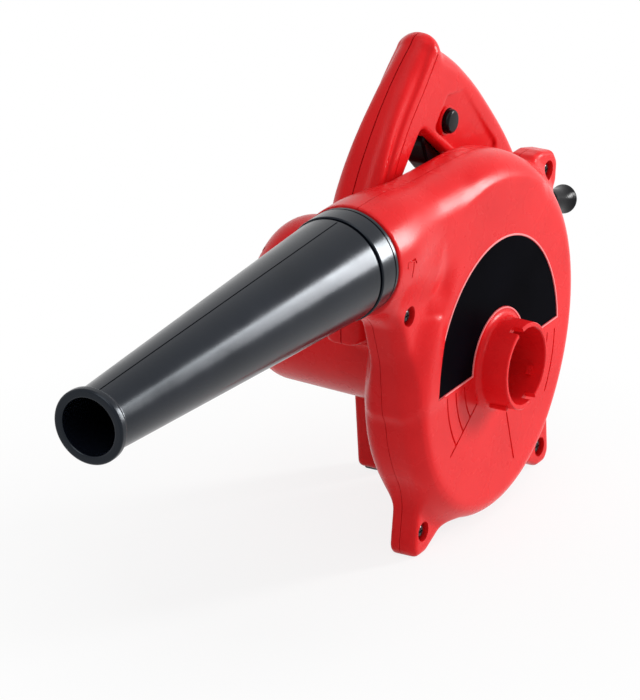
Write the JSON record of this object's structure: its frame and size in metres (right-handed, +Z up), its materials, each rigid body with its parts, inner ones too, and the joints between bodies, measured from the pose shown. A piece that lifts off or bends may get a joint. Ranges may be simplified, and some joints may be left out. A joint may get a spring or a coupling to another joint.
{
  "type": "hand-held electric blower",
  "caption": "Hand-held electric blower for drying cars: scroll fan housing with a tapered nozzle, loop handle with trigger and a motor barrel behind.",
  "frame": {"origin": "middle of the object's box, on the surface its legs stand on", "axes": "+X away from the nozzle's mouth, along the nozzle; +Y from the intake towards the motor, along the fan's axis; +Z up"},
  "size_m": [0.5306, 0.152, 0.2599],
  "materials": {
    "red_housing": "fine moulded texture",
    "black_nozzle": "gloss",
    "black_controls": "satin",
    "blank_label": "satin film",
    "rubber": "matt",
    "steel": "bright",
    "laminations": "stacked sheet",
    "copper": "enamelled wire",
    "brass": "stamped",
    "carbon": "matt",
    "nylon": "moulded"
  },
  "bodies": {
    "housing": {"fan_cover": "red_housing", "main_housing": "red_housing", "rear_housing": "red_housing", "intake_label": "blank_label", "foot_pad": "rubber", "cord_boot": "rubber", "trigger_switch": "black_controls", "front_bearing": "steel", "rear_bearing": "steel", "stator_core": "laminations", "field_coil_top": "copper", "field_coil_bottom": "copper", "brush_bridge": "nylon", "brush_holder_left": "brass", "carbon_brush_left": "carbon", "brush_holder_right": "brass", "carbon_brush_right": "carbon", "cover_screw_1": "steel", "cover_screw_2": "steel", "cover_screw_3": "steel", "cover_screw_4": "steel", "housing_screw_1": "steel", "housing_screw_2": "steel", "housing_screw_3": "steel", "housing_screw_4": "steel", "housing_screw_5": "steel", "housing_screw_6": "steel"},
    "rotor": {"impeller": "nylon", "impeller_nut": "steel", "shaft_collar": "brass", "motor_shaft": "steel", "armature_core": "laminations", "armature_coil_front": "copper", "armature_coil_rear": "copper", "commutator": "copper"},
    "trigger_lever": {"trigger": "black_controls"},
    "lock_pin": {"lock_button": "black_controls"},
    "nozzle_cone": {"nozzle": "black_nozzle"}
  },
  "joints": [
    {"name": "rotor_spin", "type": "hinge", "parent": "housing", "child": "rotor", "pos_m": [0.08771, 0, 0.089], "axis": [0, -1, 0], "continuous": true},
    {"name": "trigger_pull", "type": "slide", "parent": "housing", "child": "trigger_lever", "axis": [0.6447, 0, 0.7645], "range_m": [0, 0.006], "stiffness_N_per_m": 500, "springref_m": -0.003},
    {"name": "lock_button_press", "type": "slide", "parent": "housing", "child": "lock_pin", "axis": [0, 1, 0], "range_m": [0, 0.0025], "stiffness_N_per_m": 600, "springref_m": -0.002},
    {"name": "nozzle_pull", "type": "slide", "parent": "housing", "child": "nozzle_cone", "axis": [-1, 0, 0], "range_m": [0, 0.03]}
  ]
}
